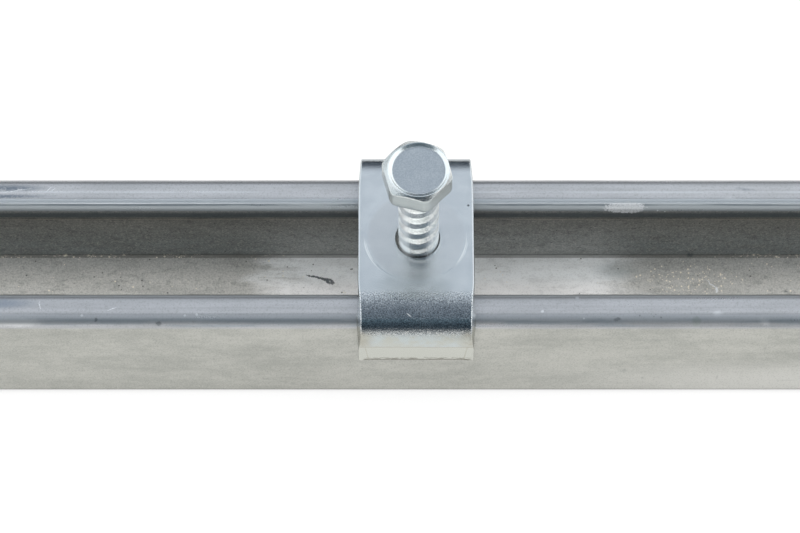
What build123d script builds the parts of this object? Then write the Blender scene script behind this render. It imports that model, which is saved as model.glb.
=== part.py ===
from build123d import *
import os
from math import radians, tan

# A length of roll-formed strut channel lies on its back with its open side up. A bent saddle clamp
# sits across the two lips, and a hex-head screw stands upright through the clamp and a back slot.
# Millimetres. X runs along the channel, +Z is up, and the origin is the centre of the channel's
# underside at mid-length.

# Channel section
CHANNEL_LENGTH = 1000.0
CHANNEL_WIDTH = 41.0
CHANNEL_HEIGHT = 41.0
STRIP_THICKNESS = 2.5
BEND_INNER_RADIUS = 0.4
MOUTH_WIDTH = 23.0
LIP_DEPTH = 5.5
STRIP_EDGE_RADIUS = 0.4

# Slots along the channel's back
SLOT_LENGTH = 30.0
SLOT_WIDTH = 13.0
SLOT_PITCH = 50.0

# Saddle clamp
CLAMP_WIDTH = 28.5
CLAMP_THICKNESS = 4.0
CLAMP_BEND_RADIUS = 8.0
CLAMP_LEG_DROP = 13.0
CLAMP_SIDE_CLEARANCE = 0.75
CLAMP_EDGE_RADIUS = 0.5

# Hex-head screw
SHANK_DIAMETER = 9.7
SHANK_LENGTH = 73.0
HOLE_CLEARANCE = 0.6
POINT_LENGTH = 2.5
POINT_DIAMETER = 6.0
HEAD_ACROSS_FLATS = 14.8
HEAD_HEIGHT = 6.4
HEAD_FACE_DIAMETER = 12.6
HEAD_CHAMFER_ANGLE = 25.0
HEAD_TURN = -13.5
NECK_RADIUS = 0.8

# Fits worked out from the sizes above
bend_radius = BEND_INNER_RADIUS + STRIP_THICKNESS
shank_radius = SHANK_DIAMETER / 2
hole_radius = shank_radius + HOLE_CLEARANCE

# The saddle stands over the first slot past mid-length, pushed back until its front leg touches the
# channel's front wall, and the screw leans on the hole's +X side
clamp_x = SLOT_PITCH / 2
clamp_y = CLAMP_SIDE_CLEARANCE
screw_x = clamp_x + HOLE_CLEARANCE


def mirrored_outline(half):
    """Close an outline of (y, z, radius) corners by mirroring it across Y = 0."""
    corners = half + [(-y, z, radius) for y, z, radius in reversed(half)]
    points = [(y, z) for y, z, radius in corners]
    radii = [radius for y, z, radius in corners]
    return FilletPolyline(*points, radius=radii, close=True)


def extrude_along_x(outline, length):
    """Push a YZ outline out to both sides of X = 0."""
    return extrude(Plane.YZ * make_face(outline), length / 2, both=True)


def channel_section():
    """The strip's outline: back, wall, top corner, lip and its turned-down edge."""
    wall = CHANNEL_WIDTH / 2
    mouth = MOUTH_WIDTH / 2
    inner_wall = wall - STRIP_THICKNESS
    lip_back = mouth + STRIP_THICKNESS
    lip_end = CHANNEL_HEIGHT - LIP_DEPTH
    lip_underside = CHANNEL_HEIGHT - STRIP_THICKNESS
    return mirrored_outline(
        [
            (wall, 0, bend_radius),
            (wall, CHANNEL_HEIGHT, bend_radius),
            (mouth, CHANNEL_HEIGHT, bend_radius),
            (mouth, lip_end, STRIP_EDGE_RADIUS),
            (lip_back, lip_end, STRIP_EDGE_RADIUS),
            (lip_back, lip_underside, BEND_INNER_RADIUS),
            (inner_wall, lip_underside, BEND_INNER_RADIUS),
            (inner_wall, STRIP_THICKNESS, BEND_INNER_RADIUS),
        ]
    )


def slot_centres():
    """Slots at one pitch from half a pitch either side of mid-length, as many as the length holds."""
    last = (CHANNEL_LENGTH - SLOT_LENGTH) / 2
    right = [SLOT_PITCH * (i + 0.5) for i in range(int(last / SLOT_PITCH + 0.5))]
    return [-x for x in reversed(right)] + right


def strut_channel():
    channel = extrude_along_x(channel_section(), CHANNEL_LENGTH)
    slots = Locations(*[(x, 0) for x in slot_centres()]) * SlotOverall(SLOT_LENGTH, SLOT_WIDTH)
    return channel - extrude(Sketch() + slots, STRIP_THICKNESS)


def saddle_section():
    """The bent bar from the side: a flat bridge on the lips and a leg down each wall.

    Inside, its bends have the channel's own bend radius, so that it seats flat on the lips.
    Outside they are rounder, because the bar stretches and thins where it is bent.
    """
    inner = CHANNEL_WIDTH / 2 + CLAMP_SIDE_CLEARANCE
    outer = inner + CLAMP_THICKNESS
    leg_end = CHANNEL_HEIGHT - CLAMP_LEG_DROP
    top = CHANNEL_HEIGHT + CLAMP_THICKNESS
    return mirrored_outline(
        [
            (inner, CHANNEL_HEIGHT, bend_radius),
            (inner, leg_end, CLAMP_EDGE_RADIUS),
            (outer, leg_end, CLAMP_EDGE_RADIUS),
            (outer, top, CLAMP_BEND_RADIUS),
        ]
    )


def saddle_clamp():
    bar = extrude_along_x(saddle_section(), CLAMP_WIDTH)
    hole = Pos(0, 0, CHANNEL_HEIGHT) * Cylinder(
        hole_radius, CLAMP_THICKNESS, align=(Align.CENTER, Align.CENTER, Align.MIN)
    )
    return Pos(clamp_x, clamp_y, 0) * (bar - hole)


def screw_body():
    """The turned part: a blunt point, the shank to its thread's crests, and a neck into the head."""
    neck_start = (shank_radius, SHANK_LENGTH - NECK_RADIUS)
    neck_end = (shank_radius + NECK_RADIUS, SHANK_LENGTH)
    point = [(0, SHANK_LENGTH), (0, 0), (POINT_DIAMETER / 2, 0), (shank_radius, POINT_LENGTH)]
    profile = Polyline(*point, neck_start)
    profile += RadiusArc(neck_start, neck_end, NECK_RADIUS)
    profile += Line(neck_end, point[0])
    return revolve(Plane.XZ * make_face(profile), Axis.Z)


def screw_head():
    """A hexagon with its top corners turned off to a round face."""
    hexagon = RegularPolygon(HEAD_ACROSS_FLATS / 2, 6, major_radius=False, rotation=HEAD_TURN)
    prism = extrude(hexagon, HEAD_HEIGHT)
    face = HEAD_FACE_DIAMETER / 2
    beyond = HEAD_ACROSS_FLATS
    drop = (beyond - face) * tan(radians(HEAD_CHAMFER_ANGLE))
    turned_off = Polyline(
        (face, HEAD_HEIGHT), (beyond, HEAD_HEIGHT), (beyond, HEAD_HEIGHT - drop), close=True
    )
    return prism - revolve(Plane.XZ * make_face(turned_off), Axis.Z)


def hex_head_screw():
    return Pos(screw_x, clamp_y, 0) * (screw_body() + Pos(0, 0, SHANK_LENGTH) * screw_head())


os.makedirs("parts", exist_ok=True)
export_step(strut_channel(), "parts/strut_channel.step")
export_step(saddle_clamp(), "parts/saddle_clamp.step")
export_step(hex_head_screw(), "parts/hex_head_screw.step")
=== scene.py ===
import math

import bmesh
import bpy
from mathutils import Matrix, Vector, noise


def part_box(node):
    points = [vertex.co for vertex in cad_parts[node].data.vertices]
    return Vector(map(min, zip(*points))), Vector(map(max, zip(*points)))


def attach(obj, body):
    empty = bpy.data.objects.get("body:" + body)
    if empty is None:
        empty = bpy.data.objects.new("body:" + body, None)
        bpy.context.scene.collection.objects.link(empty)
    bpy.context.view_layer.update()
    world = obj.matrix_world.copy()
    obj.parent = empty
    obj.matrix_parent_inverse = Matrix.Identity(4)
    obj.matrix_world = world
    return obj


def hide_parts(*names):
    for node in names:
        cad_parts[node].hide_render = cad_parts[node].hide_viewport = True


# A length of galvanised strut channel lies on its back on a white table, with a zinc-plated saddle
# clamp across its lips and a hex-head screw standing in the clamp. Metres, in the CAD's own frame.

MM = 0.001

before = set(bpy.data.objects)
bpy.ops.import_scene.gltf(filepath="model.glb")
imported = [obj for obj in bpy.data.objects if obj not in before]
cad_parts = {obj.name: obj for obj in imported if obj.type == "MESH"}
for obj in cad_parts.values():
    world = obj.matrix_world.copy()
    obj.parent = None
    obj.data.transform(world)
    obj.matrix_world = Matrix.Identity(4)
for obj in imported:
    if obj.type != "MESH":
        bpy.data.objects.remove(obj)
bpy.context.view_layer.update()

CHANNEL_LOW, CHANNEL_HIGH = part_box("strut_channel")
CLAMP_LOW, CLAMP_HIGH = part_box("saddle_clamp")
SCREW_LOW, SCREW_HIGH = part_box("hex_head_screw")
CLAMP_MIDDLE = (CLAMP_LOW + CLAMP_HIGH) / 2
SCREW_MIDDLE = (SCREW_LOW + SCREW_HIGH) / 2


# ---- meshes

# Points nearer than this become one.
WELD = 0.002 * MM


class Surface:
    """Quads gathered from grids of points and welded into one mesh where the grids meet."""

    def __init__(self):
        self.points = []
        self.faces = []

    def add(self, point):
        self.points.append(point)
        return len(self.points) - 1

    def grid(self, rows, closed=False):
        """Skin a list of rows of points, all as long. closed joins each row's end to its start."""
        numbers = [[self.add(point) for point in row] for row in rows]
        for lower, upper in zip(numbers, numbers[1:]):
            for i in range(len(lower) if closed else len(lower) - 1):
                j = (i + 1) % len(lower)
                self.faces.append((lower[i], lower[j], upper[j], upper[i]))

    def fan(self, ring, centre, flip=False):
        """Close a ring of points with triangles to its centre."""
        middle = self.add(centre)
        numbers = [self.add(point) for point in ring]
        for i, a in enumerate(numbers):
            b = numbers[(i + 1) % len(numbers)]
            self.faces.append((b, a, middle) if flip else (a, b, middle))

    def mesh(self, name):
        shape = bmesh.new()
        vertices = [shape.verts.new(point) for point in self.points]
        for face in self.faces:
            corners = [vertices[i] for i in face]
            if len(set(corners)) == len(corners):
                shape.faces.new(corners)
        bmesh.ops.remove_doubles(shape, verts=shape.verts, dist=WELD)
        bmesh.ops.dissolve_degenerate(shape, edges=shape.edges, dist=WELD / 4)
        bmesh.ops.recalc_face_normals(shape, faces=shape.faces)
        for face in shape.faces:
            face.smooth = True
        mesh = bpy.data.meshes.new(name)
        shape.to_mesh(mesh)
        shape.free()
        return mesh


def link(name, mesh, material):
    piece = bpy.data.objects.new(name, mesh)
    bpy.context.scene.collection.objects.link(piece)
    mesh.materials.append(material)
    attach(piece, "root")
    return piece


def spread(low, high, count):
    """Evenly spaced values from low to high, both included."""
    return [low + (high - low) * i / count for i in range(count + 1)]


def quarter_turn(count):
    """Angles from 0 to a quarter turn, both included."""
    return [i / count * math.pi / 2 for i in range(count + 1)]


def lerp(a, b, t):
    return a + (b - a) * t


def smoothstep(low, high, value):
    t = min(max((value - low) / (high - low), 0), 1)
    return t * t * (3 - 2 * t)


# ---- node graphs


def rgba(colour):
    """A colour of three numbers with its alpha. A socket stays as it is."""
    return (*colour, 1.0) if isinstance(colour, tuple) else colour


class Graph:
    """A node tree, with one short call for each node that a finish needs."""

    def __init__(self, tree):
        self.tree = tree
        tree.nodes.clear()

    def node(self, kind, inputs=(), **settings):
        node = self.tree.nodes.new("ShaderNode" + kind)
        for name, value in settings.items():
            setattr(node, name, value)
        for name, value in dict(inputs).items():
            socket = node.inputs[name]
            if isinstance(value, bpy.types.NodeSocket):
                self.tree.links.new(value, socket)
            else:
                socket.default_value = value
        return node

    def math(self, operation, first, *others):
        """One operation on a single value, or over all the values from left to right."""
        if not others:
            return self.node("Math", {0: first}, operation=operation).outputs[0]
        for other in others:
            first = self.node("Math", {0: first, 1: other}, operation=operation).outputs[0]
        return first

    def add(self, *values):
        return self.math("ADD", *values)

    def times(self, *values):
        return self.math("MULTIPLY", *values) if len(values) > 1 else values[0]

    def most(self, *values):
        return self.math("MAXIMUM", *values)

    def vector(self, operation, a, b):
        return self.node("VectorMath", {0: a, 1: b}, operation=operation).outputs[0]

    def scaled(self, vector, share):
        return self.node("VectorMath", {0: vector, "Scale": share}, operation="SCALE").outputs[0]

    def length(self, vector):
        return self.node("VectorMath", {0: vector}, operation="LENGTH").outputs["Value"]

    def parts(self, vector):
        """A vector's X, Y and Z."""
        outputs = self.node("SeparateXYZ", {0: vector}).outputs
        return outputs[0], outputs[1], outputs[2]

    def remap(self, value, low, high, out_low=0.0, out_high=1.0, smooth=True):
        """value from low..high to out_low..out_high, held at both ends."""
        inputs = {"Value": value, "From Min": low, "From Max": high, "To Min": out_low, "To Max": out_high}
        kind = "SMOOTHSTEP" if smooth else "LINEAR"
        return self.node("MapRange", inputs, interpolation_type=kind, clamp=True).outputs[0]

    def band(self, value, low, high, soft):
        """1 between low and high, falling to 0 over soft outside both."""
        rise = self.remap(value, low - soft, low)
        fall = self.remap(value, high, high + soft, 1.0, 0.0)
        return self.times(rise, fall)

    def millimetres(self):
        """Object coordinates in millimetres: the whole vector, and X, Y and Z."""
        vector = self.scaled(self.node("TexCoord").outputs["Object"], 1 / MM)
        return vector, *self.parts(vector)

    def noise(self, vector, scale, detail, roughness):
        """Cloudy noise from 0 to 1. scale is how fine it is, one number or one for each axis."""
        if isinstance(scale, tuple):
            vector = self.node("Mapping", {"Vector": vector, "Scale": scale}).outputs[0]
            scale = 1.0
        inputs = {"Vector": vector, "Scale": scale, "Detail": detail, "Roughness": roughness}
        return self.node("TexNoise", inputs).outputs["Fac"]

    def spot(self, vector, centre, size, turn=0.0, edge=0.5):
        """1 in an ellipsoid about centre, falling to 0 over the outer edge share. turn is about Z."""
        inputs = {"Vector": vector, "Location": centre, "Rotation": (0, 0, math.radians(turn)), "Scale": size}
        local = self.node("Mapping", inputs, vector_type="TEXTURE").outputs[0]
        return self.remap(self.length(local), 1 - edge, 1.0, 1.0, 0.0)

    def specks(self, vector, scale, radius, share):
        """Round dots in a share of the cells of a random pattern. radius is a share of a cell."""
        cells = self.node("TexVoronoi", {"Vector": vector, "Scale": scale}).outputs
        chance = self.node("SeparateColor", {0: cells["Color"]}).outputs[0]
        chosen = self.math("LESS_THAN", chance, share)
        return self.times(self.remap(cells["Distance"], radius * 0.6, radius, 1.0, 0.0), chosen)

    def mix(self, factor, a, b):
        """From colour a at 0 to colour b at 1. Each is a socket or linear red, green and blue."""
        inputs = {0: factor, 6: rgba(a), 7: rgba(b)}
        return self.node("Mix", inputs, data_type="RGBA", clamp_factor=True).outputs[2]

    def paint(self, under, over, *shares):
        """Colour over on colour under, as strongly as the product of the shares."""
        return self.mix(self.times(*shares), under, over)

    def half_turn_ramp(self, angle, stops):
        """Colours by an angle, 0 to 1 over half a turn. Each stop is its degrees and its colour."""
        node = self.node("ValToRGB", {"Fac": angle})
        elements = node.color_ramp.elements
        while len(elements) < len(stops):
            elements.new(0.5)
        for element, (degrees, colour) in zip(elements, stops):
            element.position = degrees / 180
            element.color = rgba(colour)
        return node.outputs["Color"]

    def bump(self, height, strength, distance):
        inputs = {"Height": height, "Strength": strength, "Distance": distance}
        return self.node("Bump", inputs).outputs["Normal"]

    def rays(self):
        """1 for rays from the camera, and 1 for rays that metal or glass sends on."""
        path = self.node("LightPath").outputs
        return path["Is Camera Ray"], self.most(path["Is Glossy Ray"], path["Is Transmission Ray"])

    def finish(self, **inputs):
        """End in a Principled shader. Names use _ for a space."""
        inputs = {name.replace("_", " "): value for name, value in inputs.items()}
        shader = self.node("BsdfPrincipled", inputs)
        self.node("OutputMaterial", {"Surface": shader.outputs[0]})


def new_material(name):
    material = bpy.data.materials.new(name)
    material.use_nodes = True
    return material, Graph(material.node_tree)


# ---- finishes

# Every length, place and size in a finish is in millimetres, and every colour is linear.

# Where the channel's faces lie, for masks.
STRIP = 2.5
WALL_OUT = CHANNEL_HIGH.y / MM
WALL_IN = WALL_OUT - STRIP
FLOOR = CHANNEL_LOW.z / MM + STRIP
LIP_TOP = CHANNEL_HIGH.z / MM
LIP_UNDER = LIP_TOP - STRIP
LIP_EDGE = 35.5
MOUTH = 11.5

# Where some of its marks are along X.
GOUGE_X = -1.0
GRAINS_X = 97.0
SMEAR_X = 77.0
STAIN_X = -80.0
# Scratches: the middle, half the sizes and the turn about Z in degrees.
SCRATCHES = (
    ((-74.6, 16.8, 41.0), (5.5, 0.13, 1.5), 9.0),
    ((-65.9, 17.3, 41.0), (1.3, 0.13, 1.5), 48.0),
    ((-64.9, 17.1, 41.0), (1.1, 0.12, 1.5), 42.0),
    ((-66.2, -14.9, 41.0), (1.7, 0.16, 1.5), -82.0),
    ((4.7, 10.9, 40.2), (0.8, 0.14, 1.5), 38.0),
    ((102.9, 9.9, 3.0), (2.2, 0.22, 1.5), -46.0),
    ((104.2, 8.4, 3.0), (0.5, 1.1, 1.5), 0.0),
    ((-48.6, -15.9, 41.0), (1.8, 0.12, 1.5), 22.0),
    ((-59.2, 14.3, 41.0), (0.5, 0.3, 1.5), 22.0),
)
# Smudges on the front wall: X, Z, half the width and half the height.
SMUDGES = (
    (-12.5, 9.4, 1.3, 0.8),
    (-5.6, 6.6, 1.0, 0.8),
    (-28.5, 22.9, 6.5, 0.30),
    (78.1, 14.4, 0.9, 2.0),
    (83.1, 10.0, 0.9, 1.2),
    (84.7, 32.4, 5.0, 0.5),
    (119.6, 8.5, 4.0, 0.5),
    (119.0, 27.0, 0.5, 0.5),
    (101.9, 10.2, 0.4, 2.6),
)

WHITE = (1.0, 1.0, 1.0)
OXIDE = (0.045, 0.06, 0.07)
SHADOW = (0.055, 0.065, 0.065)
PALE_ZINC = (0.80, 0.83, 0.86)
BLUE_STAIN = (0.10, 0.135, 0.18)
SMUDGE = (0.25, 0.27, 0.27)
SAND = (0.88, 0.82, 0.68)


def dark_marks(g, vector, torn, colour):
    """The gouge on the floor, freckles on the lips and small dents. torn has a rough edge."""
    gouge = g.most(
        g.spot(torn, (GOUGE_X + 0.3, 12.2, 3.0), (2.9, 0.30, 2.0), -10.0, 0.3),
        g.spot(torn, (GOUGE_X + 2.6, 11.5, 3.0), (1.9, 0.50, 2.0), -20.0, 0.3),
        g.spot(torn, (GOUGE_X + 4.2, 10.9, 3.0), (1.7, 0.85, 2.0), -26.0, 0.3),
    )
    uneven = g.remap(g.noise(vector, 2.2, 2.0, 0.6), 0.66, 0.52, 0.4, 0.92)
    colour = g.paint(colour, OXIDE, g.times(gouge, uneven))
    peppered = g.spot(vector, (82.0, -18.5, 41.0), (5.0, 0.9, 2.0))
    freckles = g.most(
        g.spot(torn, (-37.2, -19.4, 41.0), (1.1, 0.5, 2.0)),
        g.spot(torn, (-52.4, -18.6, 41.0), (0.5, 0.5, 2.0)),
        g.times(g.spot(torn, (74.5, -18.5, 41.0), (1.1, 0.5, 2.0)), 0.8),
        g.times(g.specks(vector, 1.1, 0.3, peppered), 0.9),
        g.spot(torn, (55.8, -19.9, 40.8), (0.7, 0.5, 1.0), -45.0),
    )
    colour = g.paint(colour, OXIDE, freckles, 0.5)
    dents = g.most(
        g.spot(torn, (122.2, 8.0, 3.0), (0.75, 0.75, 2.0), edge=0.8),
        g.spot(torn, (97.6, 18.4, 3.4), (1.2, 0.6, 1.0)),
        g.spot(torn, (49.0, 18.4, 22.5), (1.3, 0.6, 0.8), edge=0.9),
    )
    return g.paint(colour, OXIDE, dents, 0.6)


def stains(g, torn, rough_edge, colour):
    """Old water stains on both lips."""
    rear = g.most(
        g.spot(torn, (STAIN_X + 4.0, 17.6, 41.0), (13.0, 1.3, 2.0), edge=0.8),
        g.spot(torn, (STAIN_X + 1.0, 15.3, 41.0), (20.0, 0.8, 2.0), edge=0.8),
        g.times(g.spot(torn, (107.5, 17.3, 41.0), (3.6, 0.7, 2.0), -8.0, 0.9), 0.5),
    )
    rear = g.times(rear, g.remap(rough_edge, 0.36, 0.52, 0.5, 1.0))
    colour = g.paint(colour, BLUE_STAIN, rear, 0.85)
    front = g.spot(torn, (-77.0, -14.4, 41.0), (13.0, 2.2, 3.0), edge=0.8)
    colour = g.paint(colour, (0.20, 0.245, 0.31), front, 0.7)
    drop = g.spot(torn, (93.8, -19.0, 41.0), (1.4, 1.5, 2.0), edge=0.4)
    return g.paint(colour, (0.33, 0.38, 0.36), drop, 0.4)


def pale_rubs(g, vector, torn, rough_edge, colour):
    """Where other steel rubbed the lips bright: a frayed smear, small flecks and scratches."""
    reach = g.spot(vector, (SMEAR_X, 12.0, 39.9), (8.2, 2.6, 3.0), edge=1.0)
    frayed = g.remap(g.add(reach, g.times(rough_edge, 1.3), -0.65), 0.30, 0.46)
    patchy = g.remap(g.noise(vector, 2.6, 3.0, 0.7), 0.36, 0.56, 0.6, 1.0)
    peppered = g.spot(vector, (86.0, 10.9, 39.5), (5.0, 1.2, 2.0))
    rubs = g.most(
        g.times(frayed, patchy),
        g.times(g.spot(torn, (-72.0, -19.0, 40.5), (8.5, 1.6, 2.0), edge=0.6), 0.7),
        g.spot(vector, (-56.4, -18.2, 41.0), (0.45, 0.4, 2.0)),
        g.spot(vector, (-31.3, -18.2, 41.0), (0.40, 0.4, 2.0)),
        g.spot(vector, (-28.4, -18.0, 41.0), (0.45, 0.4, 2.0)),
        g.times(g.specks(vector, 1.2, 0.3, peppered), 0.9),
        g.times(g.spot(torn, (103.6, 14.7, 41.0), (2.0, 0.6, 2.0), edge=0.8), 0.5),
        g.times(g.spot(torn, (98.9, -17.1, 41.0), (1.7, 1.0, 2.0), edge=0.7), 0.5),
        g.times(g.spot(torn, (110.4, -19.1, 41.0), (2.2, 1.2, 2.0), -25.0, 0.9), 0.6),
        g.times(g.spot(torn, (56.3, -16.6, 41.0), (0.5, 0.5, 2.0)), 0.7),
        g.spot(vector, (65.8, -18.9, 41.0), (0.35, 0.3, 1.0)),
        g.spot(torn, (64.9, -12.8, 41.0), (0.7, 0.5, 1.0)),
    )
    colour = g.paint(colour, PALE_ZINC, rubs, 0.75)
    scratches = g.most(*(g.spot(torn, *scratch) for scratch in SCRATCHES))
    return g.paint(colour, PALE_ZINC, scratches, 0.8)


def channel_marks(g, vector, colour):
    """Single marks of wear on the lips, the floor and the front wall."""
    rough_edge = g.noise(vector, 1.3, 4.0, 0.7)
    torn = g.vector("ADD", vector, g.scaled(rough_edge, 1.1))
    colour = dark_marks(g, vector, torn, colour)
    colour = stains(g, torn, rough_edge, colour)
    colour = pale_rubs(g, vector, torn, rough_edge, colour)
    smudges = []
    for at_x, at_z, half_width, half_height in SMUDGES:
        size = (half_width, 2.0, half_height)
        smudges.append(g.spot(torn, (at_x, -WALL_OUT, at_z), size, edge=0.9))
    return g.paint(colour, SMUDGE, g.most(*smudges), 0.36)


def lip_bend_light_and_shade(g, colour, wander, y, z):
    """Painted highlights and painted shade lines along the lips where the strip bends."""
    broken = g.remap(wander, 0.34, 0.56)
    top = g.remap(z, LIP_UNDER - 0.1, LIP_UNDER + 0.7)
    drift = g.add(y, g.times(wander, 0.5), -0.25)
    # Painted highlights along the bends.
    light = g.most(
        g.band(drift, 12.9, 13.9, 0.2),
        g.times(g.band(drift, 15.75, 16.1, 0.2), broken, 0.35),
        g.times(g.band(drift, -13.0, -12.2, 0.2), 0.7),
        g.times(g.band(drift, -19.6, -18.2, 0.4), 0.45),
    )
    colour = g.paint(colour, (0.82, 0.88, 0.93), light, top, 0.7)
    # Painted shade where the rear lip curls down.
    curl_shade = g.times(g.band(drift, 11.2, 12.8, 0.2), top)
    colour = g.paint(colour, (0.46, 0.51, 0.54), curl_shade, 0.85)
    # Painted shade on the front lip's outer corner.
    bend = g.times(g.band(z, 39.2, 40.7, 0.4), g.remap(y, -18.6, -19.3))
    corner = g.times(bend, g.remap(wander, 0.42, 0.58, 0.2, 1.0))
    colour = g.paint(colour, (0.13, 0.21, 0.28), corner, 0.34)
    # Thin painted shade lines along the bends and the rear edge.
    shade_lines = g.most(
        g.times(g.band(drift, 12.5, 12.85, 0.12), g.add(g.times(broken, 0.5), 0.1)),
        g.times(g.band(drift, -11.9, -11.3, 0.15), 0.85),
        g.times(g.band(y, 19.9, 20.6, 0.3), 0.2),
    )
    return g.paint(colour, (0.07, 0.095, 0.12), shade_lines, top)


def lip_undersides(g, colour, wander, y, z):
    """The lips' turned-down edges with painted shade below the bend and a painted highlight along the cut
    edge, and painted shade on the rear wall behind them with a painted light line above it.
    """
    ragged = g.remap(wander, 0.38, 0.5)
    mouth = g.band(g.math("ABSOLUTE", y), MOUTH - 0.5, MOUTH + 1.2, 0.2)
    # Painted shade on the turned-down edges below the bend.
    under = g.times(mouth, g.remap(z, 40.5, 37.4), g.remap(z, LIP_EDGE - 0.1, LIP_EDGE + 0.1))
    colour = g.paint(colour, (0.055, 0.075, 0.085), under, 0.9)
    rear_wall = g.band(y, WALL_IN - 0.5, WALL_IN + 0.2, 0.2)
    colour = g.paint(colour, SHADOW, g.times(rear_wall, g.band(z, 22.9, 30.0, 0.15)), 0.45)
    # A painted highlight line on the rear wall, above the painted shadow.
    wall_highlight_line = g.times(rear_wall, g.band(z, 22.45, 22.85, 0.1), ragged)
    colour = g.paint(colour, (0.55, 0.50, 0.42), wall_highlight_line, 0.5)
    # A painted highlight along the cut edge.
    cut_edge_highlight = g.times(mouth, g.band(z, LIP_EDGE - 0.15, LIP_EDGE + 0.35, 0.1), ragged)
    return g.paint(colour, (0.36, 0.34, 0.29), cut_edge_highlight, 0.8)


def inside_film(g, vector, grain, x, y, z):
    """The matt film inside the channel, lighter along a stretch beside the clamp: its colour, and where it
    is.
    """
    middle = CLAMP_MIDDLE.x / MM
    inside = g.times(
        g.band(y, -WALL_IN - 0.2, WALL_IN + 0.2, 0.3),
        g.band(z, FLOOR - 0.3, LIP_UNDER + 0.3, 0.3),
    )
    floor = g.times(inside, g.remap(z, FLOOR + 0.05, FLOOR + 0.45, 1.0, 0.0))
    patches = g.noise(vector, (0.05, 0.25, 0.25), 5.0, 0.6)
    # A stretch beside the clamp where the floor and the low rear wall are lighter.
    lighter_stretch = g.band(g.add(x, g.times(patches, 30.0)), middle - 15.0, middle + 62.0, 14.0)

    wall_film = g.mix(g.remap(z, 6.0, 26.0), (0.27, 0.305, 0.315), (0.37, 0.36, 0.335))
    wall_film = g.paint(wall_film, (0.50, 0.51, 0.50), lighter_stretch, g.remap(z, 22.0, 4.0), 0.6)
    floor_film = g.paint((0.53, 0.53, 0.505), (0.27, 0.29, 0.295), g.remap(y, 9.0, 17.0), 0.5)
    light_floor = g.mix(g.remap(y, 7.5, 12.5), WHITE, (0.92, 0.955, 0.97))
    cool = g.spot(vector, (80.0, 13.6, 2.5), (11.0, 4.0, 3.0), edge=0.9)
    light_floor = g.paint(light_floor, (0.38, 0.44, 0.46), cool, 0.8)
    film = g.mix(floor, wall_film, g.mix(lighter_stretch, floor_film, light_floor))

    mottle = g.noise(vector, (0.35, 0.6, 0.6), 4.0, 0.7)
    dusty = g.add(1.0, g.times(lighter_stretch, floor, -0.55), g.times(inside, g.remap(z, 3.0, 5.0), 0.5))
    film = g.paint(film, (0.22, 0.23, 0.22), dusty, g.remap(patches, 0.56, 0.36, 0.0, 0.30))
    film = g.paint(film, (0.15, 0.16, 0.155), dusty, g.remap(mottle, 0.50, 0.34, 0.0, 0.38))
    film = g.paint(film, (0.12, 0.125, 0.12), dusty, g.remap(grain, 0.50, 0.36, 0.0, 0.34))
    film = g.paint(film, (0.78, 0.75, 0.68), dusty, g.remap(grain, 0.52, 0.68, 0.0, 0.34))
    film = g.paint(film, (0.03, 0.035, 0.035), g.specks(vector, 0.4, 0.11, 0.7), 0.8)

    # Painted shade in the inner corner between floor and rear wall; grit also gathers along it.
    corner_shade_and_grit = g.times(
        g.band(y, WALL_IN - 0.7, WALL_IN + 0.2, 0.2),
        g.band(z, FLOOR - 0.3, FLOOR + 0.5, 0.3),
    )
    film = g.paint(film, (0.06, 0.06, 0.05), corner_shade_and_grit, 0.6)
    heap = g.spot(vector, (GRAINS_X, 10.5, 2.5), (17.0, 7.0, 4.0), edge=0.9)
    far_ends = g.most(g.remap(x, -8.0, -30.0), g.remap(x, 100.0, 112.0))
    corner = g.times(corner_shade_and_grit, g.remap(patches, 0.40, 0.55), far_ends)
    share = g.add(g.times(heap, 0.55), g.times(corner, 0.8), g.times(floor, 0.012))
    grains = g.most(g.specks(vector, 1.05, 0.34, share), g.specks(vector, 1.9, 0.36, g.times(share, 0.7)))
    return g.paint(film, SAND, grains, 0.85), inside


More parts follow.
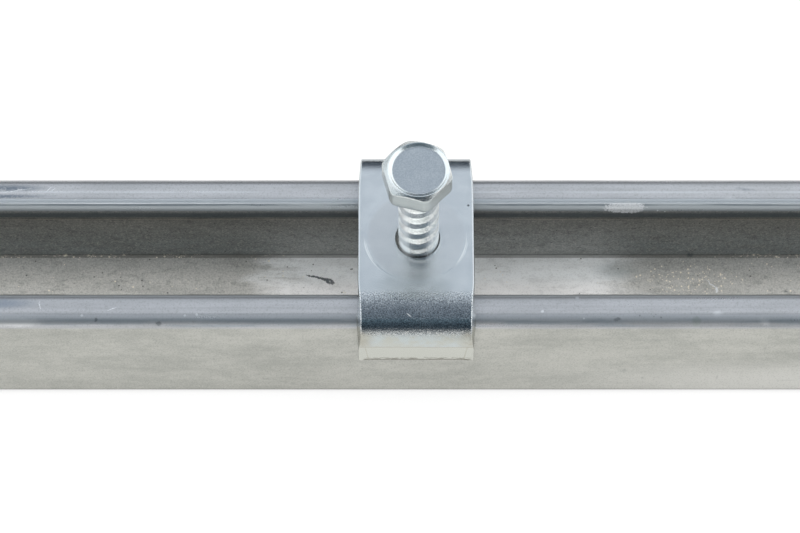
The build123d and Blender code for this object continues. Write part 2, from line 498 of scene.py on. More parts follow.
def galvanised_steel():
    """Dull sheet zinc: soft clouds, fine grain, rubbed lips with painted highlights and shade along their
    bends, and a matt film inside.
    """
    material, g = new_material("galvanised_steel")
    vector, x, y, z = g.millimetres()
    clouds = g.noise(vector, (0.05, 0.12, 0.12), 5.0, 0.6)
    streaks = g.noise(vector, (0.02, 0.9, 0.9), 3.0, 0.6)
    grain = g.noise(vector, 2.3, 3.0, 0.7)
    blotches = g.noise(vector, (0.32, 0.5, 0.5), 4.0, 0.65)
    wander = g.noise(vector, (0.04, 0.5, 0.5), 4.0, 0.6)

    tone = g.add(g.times(clouds, 0.36), g.times(streaks, 0.07), g.times(blotches, 0.22), g.times(grain, 0.35))
    wall = g.mix(g.remap(tone, 0.38, 0.62), (0.385, 0.395, 0.375), (0.495, 0.50, 0.475))
    low_right = g.times(g.remap(x, 40.0, 120.0), g.remap(z, 24.0, 8.0))
    wall = g.paint(wall, (0.60, 0.605, 0.59), low_right, 0.9)
    lip_tone = g.add(g.times(clouds, 0.45), g.times(streaks, 0.40), g.times(grain, 0.15))
    lip = g.mix(g.remap(lip_tone, 0.38, 0.62), (0.42, 0.435, 0.46), (0.52, 0.535, 0.565))
    rubbed = g.remap(z, LIP_UNDER - 0.7, LIP_UNDER + 0.3)
    colour = g.mix(rubbed, wall, lip)
    front_lip = g.times(g.remap(y, -11.0, -13.0), rubbed, 0.10)
    colour = g.paint(colour, (0.2, 0.21, 0.23), front_lip)
    colour = g.paint(colour, (0.22, 0.23, 0.23), g.remap(grain, 0.46, 0.38, 0.0, 0.28))

    colour = lip_bend_light_and_shade(g, colour, wander, y, z)
    film, inside = inside_film(g, vector, grain, x, y, z)
    colour = g.paint(colour, film, inside, 0.92)
    colour = lip_undersides(g, colour, wander, y, z)
    colour = channel_marks(g, vector, colour)

    turned_down = g.times(g.band(y, 11.0, 13.0, 0.2), g.remap(z, LIP_EDGE - 0.2, LIP_EDGE))
    dulled = g.most(inside, g.times(turned_down, 0.65), g.times(rubbed, 0.22))
    shine = g.mix(rubbed, g.remap(tone, 0.36, 0.64, 0.48, 0.40), g.remap(lip_tone, 0.36, 0.64, 0.33, 0.27))
    g.finish(
        Base_Color=colour,
        Metallic=g.remap(dulled, 0, 1, 1.0, 0.0, smooth=False),
        Roughness=g.add(shine, g.times(inside, 0.2)),
        Normal=g.bump(g.add(g.times(streaks, 0.5), g.times(grain, 0.8)), 0.5, 0.03 * MM),
    )
    return material


def leg_colour(g, vector, local, z):
    """The clamp's legs: yellowed, with a thinner foot panel, rust at a corner, painted shade along the
    panel's crease, and below a torn burr darkened with painted shadow.
    """
    across = g.parts(local)[0]
    foot = CLAMP_LOW.z / MM
    panel_top = foot + LEG_PANEL_HEIGHT / MM
    yellowed = g.noise(vector, (0.3, 0.3, 0.3), 3.0, 0.6)
    colour = g.mix(g.remap(yellowed, 0.35, 0.65), (0.455, 0.475, 0.45), (0.46, 0.505, 0.52))
    panel = g.remap(z, panel_top - 0.5, panel_top, 1.0, 0.0)
    colour = g.paint(colour, (0.475, 0.49, 0.46), panel)
    rust = g.spot(local, (9.6, -25.0, 31.5), (3.4, 3.0, 1.6), edge=0.9)
    colour = g.paint(colour, (0.52, 0.45, 0.36), rust, 0.5)

    ragged = g.noise(vector, (0.45, 0.45, 0.8), 3.0, 0.6)
    rise = g.add(z, g.times(ragged, 1.6), -foot - 0.8)
    middle = g.remap(g.math("ABSOLUTE", g.add(across, -0.3)), 13.7, 12.6)
    # A torn burr along the foot, darkened with painted shadow in the gap beneath it.
    burr_and_gap_shadow = g.most(
        g.times(g.band(rise, 1.5, 1.8, 0.15), g.remap(ragged, 0.58, 0.48), 0.5),
        g.times(g.band(rise, 0.1, 1.05, 0.15), g.remap(ragged, 0.30, 0.42, 0.4, 1.0)),
    )
    colour = g.paint(colour, (0.10, 0.095, 0.07), burr_and_gap_shadow, middle, 0.88)
    slant = g.add(g.math("ABSOLUTE", across), g.times(z, -0.1), foot * 0.1)
    bevel = g.times(g.band(slant, 11.55, 11.75, 0.12), panel)
    colour = g.paint(colour, (0.28, 0.26, 0.20), bevel, ragged, 0.5)
    # Painted shade along the crease at the panel's top.
    crease_shade = g.band(g.add(z, g.times(yellowed, 0.6)), panel_top - 0.05, panel_top + 0.25, 0.15)
    return g.paint(colour, (0.30, 0.28, 0.24), crease_shade, 0.35), yellowed


def zinc_plated_bar():
    """Satin bluish zinc on the clamp, with fine dimples where it curves. Glints and dark specks are painted
    on its front bend, shade on its back bend, and its legs yellow.
    """
    material, g = new_material("zinc_plated_bar")
    vector, _, _, z = g.millimetres()
    local = g.vector("ADD", vector, tuple(-CLAMP_MIDDLE / MM))
    across, along, _ = g.parts(local)
    clouds = g.noise(vector, (0.16, 0.22, 0.22), 4.0, 0.6)
    colour = g.mix(g.remap(clouds, 0.3, 0.7), (0.605, 0.65, 0.69), (0.66, 0.705, 0.745))

    disc = g.spot(local, (0.0, RING_SHIFT / MM, 8.5), (12.6, 12.6, 3.0), edge=0.12)
    pressed = g.times(disc, g.remap(across, -8.0, 10.0, 1.0, 0.45))
    colour = g.paint(colour, (0.50, 0.51, 0.52), pressed, 0.34)

    # Painted glints, light and dark, on the front bend.
    bend = g.times(g.band(z, 38.4, 44.9, 0.6), g.remap(along, -13.8, -15.2))
    glints = g.noise(vector, 3.4, 2.0, 0.75)
    colour = g.paint(colour, (0.08, 0.10, 0.12), bend, g.remap(glints, 0.52, 0.34, 0.0, 0.75))
    colour = g.paint(colour, WHITE, bend, g.remap(glints, 0.52, 0.66, 0.0, 0.9))
    # Painted shade on the back bend.
    back_bend_shade = g.band(along, 22.4, 24.6, 0.5)
    colour = g.paint(colour, (0.13, 0.17, 0.21), back_bend_shade, 0.35)

    legs, yellowed = leg_colour(g, vector, local, z)
    colour = g.mix(g.remap(z, 40.6, 42.0, 1.0, 0.0), colour, legs)
    corners = g.times(
        g.remap(g.math("ABSOLUTE", across), 9.5, 13.0),
        g.band(z, 37.0, 41.0, 1.8),
        g.remap(yellowed, 0.3, 0.6),
    )
    colour = g.paint(colour, (0.34, 0.30, 0.22), corners, 0.55)
    pit = g.spot(vector, (37.9, 10.0, 45.0), (0.38, 0.38, 2.0))
    colour = g.paint(colour, (0.06, 0.07, 0.08), pit, 0.8)
    scratch = g.spot(vector, (23.2, -19.6, 43.6), (1.0, 0.16, 1.5), -40.0)
    colour = g.paint(colour, (0.95, 0.97, 0.98), scratch)

    grained = g.times(g.remap(z, 45.05, 44.2), g.remap(z, 37.5, 39.5))
    satin = g.remap(clouds, 0.3, 0.7, 0.22, 0.26)
    dimples = g.times(g.noise(vector, 2.6, 3.0, 0.7), g.add(g.times(grained, 0.7), 0.3))
    g.finish(
        Base_Color=colour,
        Metallic=1.0,
        Roughness=g.add(satin, g.times(grained, -0.09), g.times(scratch, 0.5)),
        Normal=g.bump(dimples, 1.0, 0.05 * MM),
    )
    return material


def zinc_plated_screw():
    """Bright zinc on the rolled thread, with a painted dark reflection down its middle. The head's face is
    sandy and duller.
    """
    material, g = new_material("zinc_plated_screw")
    vector, _, _, z = g.millimetres()
    local = g.vector("ADD", vector, (-SCREW_MIDDLE.x / MM, -CLAMP_MIDDLE.y / MM, 0.0))
    clouds = g.noise(vector, 0.4, 3.0, 0.6)
    colour = g.mix(g.remap(clouds, 0.3, 0.7), (0.84, 0.91, 0.935), (0.92, 0.955, 0.97))

    lean = (SCREW_HIGH.z - CLAMP_HIGH.z) / MM
    centre = (SCREW_LEAN[0] * lean, SCREW_LEAN[1] * lean, SCREW_HIGH.z / MM)
    from_axis = g.vector("MULTIPLY", g.vector("SUBTRACT", local, centre), (1.0, 1.0, 0.0))
    out = g.length(from_axis)
    head = g.remap(z, 76.0, 77.0)
    rim = HEAD_RIM_RADIUS / MM
    chamfer = g.times(head, g.remap(out, rim, rim + 0.25))
    colour = g.paint(colour, (0.33, 0.36, 0.38), chamfer, 0.42)
    face = g.spot(local, centre, (HEAD_FACE_RADIUS / MM, HEAD_FACE_RADIUS / MM, 5.0), edge=0.03)
    sand = g.noise(vector, 3.4, 2.0, 0.6)
    face_colour = g.mix(g.remap(sand, 0.35, 0.65), (0.36, 0.41, 0.46), (0.46, 0.505, 0.55))
    colour = g.mix(face, colour, face_colour)
    side = g.times(g.remap(z, 72.6, 73.0), g.remap(z, 78.2, 78.8, 1.0, 0.0))
    colour = g.paint(colour, (0.62, 0.69, 0.70), side, 0.9)

    across = g.parts(local)[0]
    thread = g.remap(z, 73.5, 72.5)
    flanks = g.times(g.remap(g.math("ABSOLUTE", across), 0.8, 3.2), thread)
    # A painted dark reflection in a patchy strip down the middle of the thread.
    dark_reflection_noise = g.noise(vector, 1.9, 3.0, 0.7)
    painted_dark_reflection = g.times(g.remap(across, -0.8, 1.6), g.remap(across, 4.6, 3.6), thread)
    colour = g.paint(colour, (0.30, 0.38, 0.42), painted_dark_reflection, g.remap(dark_reflection_noise, 0.52, 0.40, 0.0, 0.5))

    speckle = g.noise(vector, 2.4, 3.0, 0.65)
    ring = g.times(head, g.remap(out, rim + 0.1, rim - 0.1))
    g.finish(
        Base_Color=colour,
        Metallic=g.add(1.0, g.times(side, -0.45), g.times(flanks, -0.45)),
        Roughness=g.add(g.remap(clouds, 0.3, 0.7, 0.20, 0.27), g.times(face, 0.1)),
        Normal=g.bump(g.times(speckle, g.remap(ring, 0.0, 1.0, 1.0, 0.12)), 1.0, 0.08 * MM),
    )
    return material


# ---- saddle clamp

BEND_INNER_RADIUS = 2.9 * MM
BEND_OUTER_RADIUS = 6.5 * MM
CROWN_RADIUS = 18.0 * MM
CROWN_ANGLE = math.radians(20)
BACK_BEND_OUTER_RADIUS = 4.5 * MM
BACK_CROWN_RADIUS = 12.0 * MM
BACK_INSET = 0.7 * MM
BAR_EDGE_RADIUS = 0.5 * MM
FRONT_PINCH = 0.65 * MM
FRONT_BULGE = 0.25 * MM
BACK_PINCH = 0.45 * MM
BACK_BULGE = 0.0
# Where along the bar, as bar_station counts, its pinch and bulge come and go.
PINCH_RISES = (0.72, 1.35)
PINCH_FALLS = (1.65, 2.5)
HOLE_RADIUS = 5.45 * MM
HOLE_SHIFT = (0.35 * MM, 0.2 * MM)
HOLE_RIM_RADIUS = 0.25 * MM
RING_RADIUS = 12.6 * MM
RING_SHIFT = 0.75 * MM
RING_WIDTH = 0.5 * MM
RING_DEPTH = 0.08 * MM
# The circles' centres go from the hole's to the ring's between these radii.
CENTRE_SHIFT = (7 * MM, 11.5 * MM)
# The ring's section: places in half widths from its middle, and its depth there as a share.
RING_SECTION = ((-1.6, 0), (-1, 0), (-0.55, 0.75), (0, 1), (0.55, 0.75), (1, 0), (1.5, 0))
# The punch stood askew: the ring is deepest at this sine of the angle, and faint a spread away.
RING_DEEPEST = -0.42
RING_SPREAD = 0.34
RING_FAINTEST = 0.03
LEG_PANEL_HEIGHT = 8.3 * MM
LEG_TAPER = 0.035
LEG_PANEL_HALF_WIDTH = 11.6 * MM
LEG_PANEL_FADE = 1.4 * MM
LEG_PANEL_EDGE_SHARE = 0.35
LEG_END_WAVE = 0.12 * MM
LEG_END_WAVE_LENGTH = 2.2 * MM
LEG_END_HALF_WIDTH = 14.5 * MM
LEG_END_FADE = 4 * MM

# How many steps the mesh takes across and along the bar.
FACE_STEPS = 44
EDGE_STEPS = 4
BRIDGE_STEPS = 56
BEND_STEPS = 27
LEG_STEPS = 24
HOLE_WALL_STEPS = 6
# The circles between the hole and the pressed ring.
HOLE_CIRCLES = (6.6 * MM, 7.6 * MM, 9.0 * MM, 10.4 * MM, 11.6 * MM)


class Clamp:
    """The clamp's sizes, worked out from the CAD's boxes, about its own middle."""

    half_width = (CLAMP_HIGH.x - CLAMP_LOW.x) / 2
    top = CLAMP_HIGH.z
    underside = CHANNEL_HIGH.z
    thickness = top - underside
    foot = CLAMP_LOW.z


class Side:
    """One end of the bar: how far out its leg is, and its bend. The outside starts as a wide crown."""

    def __init__(self, inset, bend, crown, pinch, bulge):
        self.outer = (CLAMP_HIGH.y - CLAMP_LOW.y) / 2 - inset
        self.inner = self.outer - Clamp.thickness
        self.bend = bend
        self.crown = crown
        self.pinch = pinch
        self.bulge = bulge
        self.flat_inner = self.inner - BEND_INNER_RADIUS
        self.flat_outer = self.outer - bend * (1 - math.sin(CROWN_ANGLE)) - crown * math.sin(CROWN_ANGLE)
        self.bend_end = Clamp.top - crown * (1 - math.cos(CROWN_ANGLE)) - bend * math.cos(CROWN_ANGLE)

    def outside(self, angle):
        """The outer face's (y, z) at an angle round the bend."""
        across, down = math.sin(angle), math.cos(angle)
        if angle < CROWN_ANGLE:
            return self.flat_outer + self.crown * across, Clamp.top - self.crown * (1 - down)
        return self.outer - self.bend * (1 - across), self.bend_end + self.bend * down


FRONT = Side(0.0, BEND_OUTER_RADIUS, CROWN_RADIUS, FRONT_PINCH, FRONT_BULGE)
BACK = Side(BACK_INSET, BACK_BEND_OUTER_RADIUS, BACK_CROWN_RADIUS, BACK_PINCH, BACK_BULGE)


def bar_station(s):
    """Points (y, z) on the inner and outer face, and how bent the bar is there.

    s runs from -3 at the back leg's foot, through the bends at -2 to -1 and 1 to 2, to 3 at the
    front leg's foot.
    """
    sign = -1 if s > 0 else 1
    side = FRONT if s > 0 else BACK
    t = abs(s)
    inner_top = Clamp.underside - BEND_INNER_RADIUS
    if t <= 1:
        inner = (side.flat_inner * t, Clamp.underside)
        outer = (side.flat_outer * t, Clamp.top)
    elif t <= 2:
        angle = (t - 1) * math.pi / 2
        across, down = math.sin(angle), math.cos(angle)
        inner = (side.flat_inner + BEND_INNER_RADIUS * across, inner_top + BEND_INNER_RADIUS * down)
        outer = side.outside(angle)
    else:
        inner = (side.inner, lerp(inner_top, Clamp.foot, t - 2))
        outer = (side.outer, lerp(side.bend_end, Clamp.foot, t - 2))
    bent = smoothstep(*PINCH_RISES, t) * (1 - smoothstep(*PINCH_FALLS, t))
    return (sign * inner[0], inner[1]), (sign * outer[0], outer[1]), bent


def leg_panel_depth(x, z):
    """How far the leg's outer face lies back where its end was pressed thinner."""
    below = max(Clamp.foot + LEG_PANEL_HEIGHT - z, 0)
    inside = 1 - smoothstep(LEG_PANEL_HALF_WIDTH, LEG_PANEL_HALF_WIDTH + LEG_PANEL_FADE, abs(x))
    return LEG_TAPER * below * lerp(LEG_PANEL_EDGE_SHARE, 1, inside)


def rounded_edge(half, level, sign, rising):
    """The corner between the face at level and the bar's side, as (x, w)."""
    share = BAR_EDGE_RADIUS / Clamp.thickness
    steps = quarter_turn(EDGE_STEPS)
    points = []
    for angle in steps if rising else reversed(steps):
        x = half - BAR_EDGE_RADIUS + BAR_EDGE_RADIUS * math.sin(angle)
        w = level - (1 if level > 0.5 else -1) * share * (1 - math.cos(angle))
        points.append((sign * x, w))
    return points


def bar_profile(outer_half, inner_half):
    """The bar's outline as (x, w), where w is 0 on the inner face and 1 on the outer.

    It goes along the outer face, round one edge, back along the inner face and round the other edge.
    """
    outer_flat = outer_half - BAR_EDGE_RADIUS
    inner_flat = inner_half - BAR_EDGE_RADIUS
    outer_face = [(x, 1.0) for x in spread(-outer_flat, outer_flat, FACE_STEPS)]
    inner_face = [(x, 0.0) for x in spread(inner_flat, -inner_flat, FACE_STEPS)]
    right = rounded_edge(outer_half, 1.0, 1, True) + rounded_edge(inner_half, 0.0, 1, False)
    left = rounded_edge(inner_half, 0.0, -1, True) + rounded_edge(outer_half, 1.0, -1, False)
    return outer_face[:-1] + right + inner_face[1:-1] + left[:-1]


def bar_loop(s, inset=0.0):
    """The bar's outline at s, as a closed loop of points. inset shrinks it, for a leg's rounded foot."""
    inner, outer, bent = bar_station(s)
    side = FRONT if s > 0 else BACK
    profile = bar_profile(Clamp.half_width - side.pinch * bent, Clamp.half_width + side.bulge * bent)
    loop = []
    for x, w in profile:
        if inset:
            x -= math.copysign(min(inset, abs(x)), x) * smoothstep(0.6, 1.0, abs(x) / Clamp.half_width)
            w += (inset / Clamp.thickness) * (1 - 2 * w)
        y = lerp(inner[0], outer[0], w)
        z = lerp(inner[1], outer[1], w)
        if abs(s) > 2:
            y -= math.copysign(leg_panel_depth(x, z) * w, y)
        loop.append(Vector((x, y, z)))
    return loop


def add_bar_end(skin, sign):
    """A bend and its leg, down to a rounded, slightly wavy foot. sign is 1 in front and -1 behind."""
    legs = spread(2, 3 - BAR_EDGE_RADIUS / (FRONT.bend_end - Clamp.foot), LEG_STEPS)
    stations = [sign * s for s in spread(1, 2, BEND_STEPS) + legs[1:]]
    rows = [bar_loop(s) for s in stations]
    for angle in quarter_turn(EDGE_STEPS)[1:]:
        row = bar_loop(stations[-1], BAR_EDGE_RADIUS * (1 - math.cos(angle)))
        drop = BAR_EDGE_RADIUS * math.sin(angle)
        rows.append([Vector((p.x, p.y, p.z - drop * (p.z - Clamp.foot) / BAR_EDGE_RADIUS)) for p in row])
    for row in rows[-EDGE_STEPS - 1 :]:
        for p in row:
            wave = noise.noise((p.x / LEG_END_WAVE_LENGTH, sign * 3.0, 0.0))
            p.z += LEG_END_WAVE * wave * smoothstep(0, LEG_END_FADE, LEG_END_HALF_WIDTH - abs(p.x))
    skin.grid(rows, closed=True)
    skin.fan(rows[-1], sum(rows[-1], Vector()) / len(rows[-1]))


def face_outline(loops, first, last):
    """The outline of one face of the bridge, whose points are first to last in each loop."""
    far = [loop[last] for loop in loops]
    near = [loop[first] for loop in loops]
    return loops[0][first : last + 1] + far[1:-1] + loops[-1][first : last + 1][::-1] + near[::-1][1:-1]


def circle_about_hole(angles, radius, height, groove=0.0):
    """A circle of points, pressed in by groove. Small ones share the hole's centre, big ones the ring's."""
    outward = smoothstep(*CENTRE_SHIFT, radius)
    right = lerp(HOLE_SHIFT[0], 0, outward)
    back = lerp(HOLE_SHIFT[1], RING_SHIFT, outward)
    points = []
    for a in angles:
        bite = math.exp(-(((math.sin(a) - RING_DEEPEST) / RING_SPREAD) ** 2))
        z = height - groove * lerp(RING_FAINTEST, 1, bite)
        points.append(Vector((right + radius * math.cos(a), back + radius * math.sin(a), z)))
    return points


def matched_to(ring, angles):
    """A ring of points, turned and if need be reversed, to start and go round as angles do."""

    def off(point, angle):
        return abs(math.atan2(point.y, point.x) - angle)

    turn = min(range(len(ring)), key=lambda i: off(ring[i], angles[0]))
    ring = ring[turn:] + ring[:turn]
    if off(ring[1], angles[1]) > off(ring[-1], angles[1]):
        ring = ring[:1] + ring[:0:-1]
    return ring


def add_bridge(skin):
    """The flat between the bends: its sides, its faces, the hole and the ring pressed round it."""
    loops = [bar_loop(s) for s in spread(-1, 1, BRIDGE_STEPS)]
    inner_start = len(loops[0]) // 2
    inner_end = inner_start + FACE_STEPS
    skin.grid([loop[FACE_STEPS : inner_start + 1] for loop in loops])
    skin.grid([loop[inner_end:] + loop[:1] for loop in loops])

    outer_rim = face_outline(loops, 0, FACE_STEPS)
    inner_rim = face_outline(loops, inner_start, inner_end)
    angles = [math.atan2(p.y, p.x) for p in outer_rim]
    rows = []
    for angle in quarter_turn(EDGE_STEPS):
        radius = HOLE_RADIUS + HOLE_RIM_RADIUS * (1 - math.cos(angle))
        height = Clamp.top - HOLE_RIM_RADIUS * (1 - math.sin(angle))
        rows.append(circle_about_hole(angles, radius, height))
    for radius in HOLE_CIRCLES:
        rows.append(circle_about_hole(angles, radius, Clamp.top))
    for offset, depth in RING_SECTION:
        radius = RING_RADIUS + offset * RING_WIDTH / 2
        rows.append(circle_about_hole(angles, radius, Clamp.top, depth * RING_DEPTH))
    rows.append(outer_rim)
    skin.grid(rows, closed=True)
    heights = spread(Clamp.underside, Clamp.top - HOLE_RIM_RADIUS, HOLE_WALL_STEPS)
    wall = [circle_about_hole(angles, HOLE_RADIUS, height) for height in heights]
    skin.grid(wall, closed=True)
    skin.grid([wall[0], matched_to(inner_rim, angles)], closed=True)


def saddle_clamp_mesh():
    """A bent flat bar with rounded edges, pinched over its bends, with a hole in its bridge."""
    skin = Surface()
    for sign in (-1, 1):
        add_bar_end(skin, sign)
    add_bridge(skin)
    return skin.mesh("saddle_clamp_bar")


def add_saddle_clamp(material):
    mesh = saddle_clamp_mesh()
    mesh.transform(Matrix.Translation((CLAMP_MIDDLE.x, CLAMP_MIDDLE.y, 0)))
    piece = link("saddle_clamp_bar", mesh, material)
    piece.modifiers.new("flat_faces", "WEIGHTED_NORMAL").keep_sharp = True
    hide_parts("saddle_clamp")


# ---- hex-head screw

SHANK_RADIUS = 4.95 * MM
HEAD_HEIGHT = 6.4 * MM
HEAD_HALF_FLATS = 7.65 * MM
HEAD_CORNER_RADIUS = 2.3 * MM
HEAD_LOW_EDGE_RADIUS = 0.9 * MM
HEAD_RIM_RADIUS = 7.25 * MM
HEAD_RIM_STEP = 0.08 * MM
HEAD_FACE_RADIUS = 6.35 * MM
HEXAGON_SHIFT = (-0.4 * MM, 0.0)
HEAD_FACE_DEPTH = 0.5 * MM
# How far its slope is eased from straight to an S.
HEAD_FACE_ROUNDING = 0.35
SCREW_LEAN = (-0.0045, 0.011)
HEAD_CHAMFER = math.radians(42)
HEAD_TURN = math.radians(-14.5)
NECK_RADIUS = 0.8 * MM
THREAD_PITCH = 5.2 * MM
THREAD_PHASE_HEIGHT = 3.6 * MM
THREAD_DEPTH = 0.75 * MM
# Where on the pitch, as shares of it, the crest ends and the groove is deepest.
THREAD_CREST = 0.38
THREAD_ROOT = 0.72
THREAD_START = 0.3 * MM
THREAD_BEGIN = 2.0 * MM
THREAD_BELOW_HEAD = 1.0 * MM
THREAD_FADE = 1.5 * MM
POINT_RADIUS = 3.0 * MM
POINT_LENGTH = 2.5 * MM

# How finely the mesh is divided: round the screw, along the thread, and over the head.
COLUMNS = 120
THREAD_ROW = 0.23 * MM
LOW_EDGE_STEPS = 5
FACE_EDGE_STEPS = 8
UNDERSIDE_SHARES = (0.3, 0.6)
SIDE_SHARES = (0.2, 0.6, 0.9, 0.97)
CHAMFER_SHARES = (0.03, 0.2, 0.5, 0.8, 0.97)
FACE_CIRCLES = (5.9 * MM, 5.5 * MM, 4.0 * MM, 2.5 * MM, 1.2 * MM)

HEAD_TOP = SCREW_HIGH.z
HEAD_LOW = HEAD_TOP - HEAD_HEIGHT


def hexagon_radius(angle):
    """How far out the head's rounded hexagon is in that direction."""
    sixth = math.pi / 3
    off_corner = abs((angle - HEAD_TURN + sixth / 2) % sixth - sixth / 2)
    radius = HEAD_CORNER_RADIUS
    centre = (HEAD_HALF_FLATS - radius) / math.cos(sixth / 2)
    across = centre * math.sin(off_corner)
    flat = HEAD_HALF_FLATS / math.cos(sixth / 2 - off_corner)
    if across >= radius:
        return flat
    corner = centre * math.cos(off_corner) + math.sqrt(radius**2 - across**2)
    tangent = math.atan2(radius * math.sin(sixth / 2), centre + radius * math.cos(sixth / 2))
    return corner if off_corner < tangent else flat


def chamfer_height(radius):
    return HEAD_TOP - max(radius - HEAD_RIM_RADIUS, 0) * math.tan(HEAD_CHAMFER)


def thread_depth(phase):
    """The groove's depth, from 0 to 1, at a share of the pitch above a crest's lower edge."""
    if phase < THREAD_CREST:
        return 0.0
    if phase < THREAD_ROOT:
        return smoothstep(THREAD_CREST, THREAD_ROOT, phase)
    return 1 - smoothstep(THREAD_ROOT, 1.0, phase)


def screw_ring(radius, height, shift=0.0):
    """radius and height are numbers, or functions of the angle. shift is the hexagon's share."""
    points = []
    for i in range(COLUMNS):
        a = 2 * math.pi * i / COLUMNS
        out = radius(a) if callable(radius) else radius
        z = height(a) if callable(height) else height
        x = HEXAGON_SHIFT[0] * shift + out * math.cos(a)
        y = HEXAGON_SHIFT[1] * shift + out * math.sin(a)
        points.append(Vector((x, y, z)))
    return points


def thread_rows():
    """The rolled thread, deep all round where it begins and fading out below the neck."""
    start = POINT_LENGTH + THREAD_START
    end = HEAD_LOW - NECK_RADIUS
    rows = []
    for height in spread(start, end, round((end - start) / THREAD_ROW)):
        fade = smoothstep(0, THREAD_FADE, HEAD_LOW - THREAD_BELOW_HEAD - height)
        begin = 1 - smoothstep(0, THREAD_BEGIN, height - POINT_LENGTH)

        def radius(a):
            phase = ((height - THREAD_PHASE_HEIGHT) / THREAD_PITCH - a / (2 * math.pi)) % 1.0
            return SHANK_RADIUS - THREAD_DEPTH * max(thread_depth(phase) * fade, begin)

        rows.append(screw_ring(radius, height))
    return rows


def head_side_rows():
    """The neck, the head's underside, its rounded lower edge, its flats and the chamfer above them."""
    rows = []
    for angle in quarter_turn(EDGE_STEPS)[1:]:
        out = SHANK_RADIUS + NECK_RADIUS * (1 - math.cos(angle))
        rows.append(screw_ring(out, HEAD_LOW - NECK_RADIUS * (1 - math.sin(angle))))
    neck = SHANK_RADIUS + NECK_RADIUS
    edge = HEAD_LOW_EDGE_RADIUS
    for share in UNDERSIDE_SHARES:
        rows.append(screw_ring(lambda a: lerp(neck, hexagon_radius(a) - edge, share), HEAD_LOW, share))
    for angle in quarter_turn(LOW_EDGE_STEPS):
        height = HEAD_LOW + edge * (1 - math.cos(angle))
        rows.append(screw_ring(lambda a: hexagon_radius(a) - edge * (1 - math.sin(angle)), height, 1.0))
    for share in SIDE_SHARES:

        def side_height(a):
            return lerp(HEAD_LOW + edge, chamfer_height(hexagon_radius(a)), share)

        rows.append(screw_ring(hexagon_radius, side_height, 1.0))
    for share in CHAMFER_SHARES:

        def chamfer_radius(a):
            return lerp(hexagon_radius(a), HEAD_RIM_RADIUS, share)

        rows.append(screw_ring(chamfer_radius, lambda a: chamfer_height(chamfer_radius(a)), 1 - share))
    return rows


def head_face_rows():
    """The sunk face inside its raised rim."""
    rows = []
    for share in spread(0, 1, FACE_EDGE_STEPS):
        out = lerp(HEAD_RIM_RADIUS - HEAD_RIM_STEP, HEAD_FACE_RADIUS, share)
        sunk = lerp(share, smoothstep(0, 1, share), HEAD_FACE_ROUNDING)
        rows.append(screw_ring(out, HEAD_TOP - HEAD_FACE_DEPTH * sunk))
    for out in FACE_CIRCLES:
        rows.append(screw_ring(out, HEAD_TOP - HEAD_FACE_DEPTH))
    return rows


def hex_head_screw_mesh():
    """Blunt point, rolled right-hand thread, neck, and a forged head with a turned face."""
    rows = [screw_ring(POINT_RADIUS, 0.0), screw_ring(SHANK_RADIUS - THREAD_DEPTH, POINT_LENGTH)]
    rows += thread_rows() + head_side_rows() + head_face_rows()
    skin = Surface()
    skin.grid(rows, closed=True)
    skin.fan(rows[-1], Vector((0, 0, HEAD_TOP - HEAD_FACE_DEPTH)))
    skin.fan(rows[0], Vector((0, 0, 0)), flip=True)
    return skin.mesh("hex_head_screw_body")


def add_screw(material):
    mesh = hex_head_screw_mesh()
    lean = Matrix.Identity(4)
    lean[0][2], lean[1][2] = SCREW_LEAN
    foot = Vector((SCREW_MIDDLE.x, CLAMP_MIDDLE.y, 0)) - Vector((*SCREW_LEAN, 0)) * CLAMP_HIGH.z
    mesh.transform(Matrix.Translation(foot) @ lean)
    piece = link("hex_head_screw_body", mesh, material)
    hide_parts("hex_head_screw")


# ---- stage

TABLE_SIZE = 12.0
TABLE_GLOW = 0.76
TABLE_GREY = (0.30, 0.30, 0.30)
TABLE_TINT = (1.0, 0.985, 0.94)
# In reflections the table ends behind the channel, and shows again, dimmer, as a strip farther off.
TABLE_EDGE_BEHIND = 0.24
TABLE_STRIP = (0.45, 1.3)
TABLE_STRIP_SHARE = 0.55
# A grey card lies on it in front of the channel's right half, and is seen only in the metal.
CARD_FRONT = -0.10
CARD_BACK = -0.07
CARD_SOFT_SIDE = 0.03
CARD_SHARE = 0.55

# What metal mirrors overhead, by the angle in degrees from the horizon behind the object, up and over
# to the horizon in front.
CEILING = (
    (0, (0.04, 0.05, 0.06)),
    (29, (0.06, 0.075, 0.095)),
    (36, (0.24, 0.27, 0.31)),
    (44, (0.69, 0.745, 0.80)),
    (64, (0.71, 0.765, 0.82)),
    (70, (0.53, 0.585, 0.64)),
    (76, (0.32, 0.365, 0.41)),
    (82, (0.175, 0.215, 0.255)),
    (88, (0.135, 0.17, 0.21)),
    (104, (0.125, 0.16, 0.195)),
    (110, (0.098, 0.148, 0.182)),
    (117, (0.062, 0.118, 0.15)),
    (124, (0.055, 0.085, 0.112)),
    (130, (0.047, 0.07, 0.09)),
    (146, (0.038, 0.056, 0.07)),
    (154, (0.04, 0.06, 0.08)),
    (161, (0.25, 0.26, 0.26)),
    (168, (0.54, 0.54, 0.52)),
    (178, (0.68, 0.68, 0.65)),
)
LEFT_BOX = (1.06, 1.11, 1.13)
RIGHT_BOX = (1.16, 1.19, 1.19)
# The light that falls on matt surfaces, by the same angle.
AROUND = (0.35, 0.35, 0.35)
OVERHEAD = (2.8, 2.8, 2.8)
SOFTBOX = ((0, AROUND), (60, AROUND), (70, OVERHEAD), (110, OVERHEAD), (120, AROUND))

CAMERA_ELEVATION = math.radians(63.1)
CAMERA_DISTANCE = 0.6472
CAMERA_LENS = 119.4
CAMERA_SENSOR_WIDTH = 36.0
CAMERA_CLIP_START = 0.01
AIM_LEFT_OF_CLAMP = 3.95 * MM
AIM_BEFORE_MIDDLE = 6.9 * MM


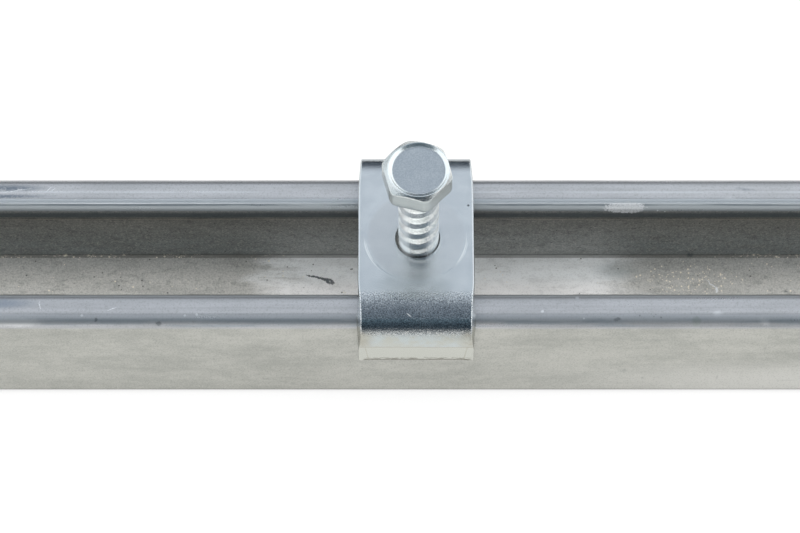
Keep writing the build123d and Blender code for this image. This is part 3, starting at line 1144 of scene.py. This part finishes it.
def add_table():
    """A white table top. It looks white to the camera and in reflections, and keeps the shadow."""
    bpy.ops.mesh.primitive_plane_add(size=TABLE_SIZE, location=(CLAMP_MIDDLE.x, 0, CHANNEL_LOW.z))
    table = bpy.context.object
    table.name = "table_top"
    material, g = new_material("white_table")
    x, y, _ = g.parts(g.node("TexCoord").outputs["Object"])
    near = g.remap(y, TABLE_EDGE_BEHIND, TABLE_EDGE_BEHIND + 0.05, 1.0, 0.0)
    strip = g.times(g.band(y, *TABLE_STRIP, 0.1), TABLE_STRIP_SHARE)
    left, right = -CHANNEL_HIGH.x - CLAMP_MIDDLE.x, CHANNEL_HIGH.x - CLAMP_MIDDLE.x
    covered = g.times(g.band(x, left, right, MM), g.band(y, -CHANNEL_HIGH.y, CHANNEL_HIGH.y, MM))
    card = g.times(g.remap(y, CARD_FRONT, CARD_BACK, 1.0, 0.0), g.remap(x, 0.0, CARD_SOFT_SIDE))
    open_table = g.times(
        g.most(near, strip),
        g.remap(covered, 0, 1, 1.0, 0.0),
        g.remap(card, 0, 1, 1.0, CARD_SHARE),
    )
    camera_ray, glossy_ray = g.rays()
    seen = g.most(camera_ray, g.times(glossy_ray, open_table))
    tint = g.mix(camera_ray, TABLE_TINT, WHITE)
    glow = g.node("Emission", {"Color": tint, "Strength": g.times(seen, TABLE_GLOW)}).outputs[0]
    matt = g.node("BsdfDiffuse", {"Color": rgba(TABLE_GREY)}).outputs[0]
    both = g.node("AddShader", {0: glow, 1: matt}).outputs[0]
    g.node("OutputMaterial", {"Surface": both})
    table.data.materials.append(material)


def add_studio():
    """Soft light from all round. Metal mirrors a bright ceiling, dimmer ends and two side boxes."""
    world = bpy.data.worlds.new("studio")
    bpy.context.scene.world = world
    world.use_nodes = True
    g = Graph(world.node_tree)
    x, y, z = g.parts(g.node("TexCoord").outputs["Generated"])
    angle = g.math("DIVIDE", g.math("ARCTAN2", z, y), math.pi)
    above = g.remap(z, 0.05, 0.2)

    # Each box's inner edge, as a direction's X, moves with Y: nearer the middle in front and behind.
    left_front = g.remap(y, -0.45, -0.2, -0.68, -0.36, smooth=False)
    left_edge = g.add(left_front, g.remap(y, -0.05, 0.4, 0.0, 0.12))
    left = g.times(g.remap(g.math("SUBTRACT", left_edge, x), 0.0, 0.1), above)
    right_front = g.remap(y, -0.45, -0.15, 0.66, 0.40, smooth=False)
    right_edge = g.math("SUBTRACT", right_front, g.remap(y, -0.05, 0.4, 0.0, 0.22, smooth=False))
    right = g.times(g.remap(g.math("SUBTRACT", x, right_edge), 0.0, 0.08), above)
    mirrored = g.half_turn_ramp(angle, CEILING)
    mirrored = g.paint(mirrored, LEFT_BOX, left)
    mirrored = g.paint(mirrored, RIGHT_BOX, right)

    camera_ray, glossy_ray = g.rays()
    plain = g.mix(camera_ray, g.half_turn_ramp(angle, SOFTBOX), WHITE)
    colour = g.mix(glossy_ray, plain, mirrored)
    light = g.node("Background", {"Color": colour, "Strength": 1.0}).outputs[0]
    g.node("OutputWorld", {"Surface": light})


def add_camera():
    """Above and in front, looking down on the clamp along +Y."""
    aim = Vector((CLAMP_MIDDLE.x - AIM_LEFT_OF_CLAMP, -AIM_BEFORE_MIDDLE, CLAMP_HIGH.z))
    back = Vector((0, -math.cos(CAMERA_ELEVATION), math.sin(CAMERA_ELEVATION)))
    data = bpy.data.cameras.new("camera")
    data.lens = CAMERA_LENS
    data.sensor_width = CAMERA_SENSOR_WIDTH
    data.clip_start = CAMERA_CLIP_START
    camera = bpy.data.objects.new("camera", data)
    camera.location = aim + back * CAMERA_DISTANCE
    camera.rotation_euler = (math.pi / 2 - CAMERA_ELEVATION, 0, 0)
    bpy.context.scene.collection.objects.link(camera)
    bpy.context.scene.camera = camera


# ---- the scene


def dress_channel(material):
    """The channel keeps its CAD mesh, with the scene's own finish."""
    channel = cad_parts["strut_channel"]
    channel.data.materials.clear()
    channel.data.materials.append(material)


bpy.context.scene.view_settings.view_transform = "Standard"
add_camera()
add_table()
add_studio()
dress_channel(galvanised_steel())
add_saddle_clamp(zinc_plated_bar())
add_screw(zinc_plated_screw())
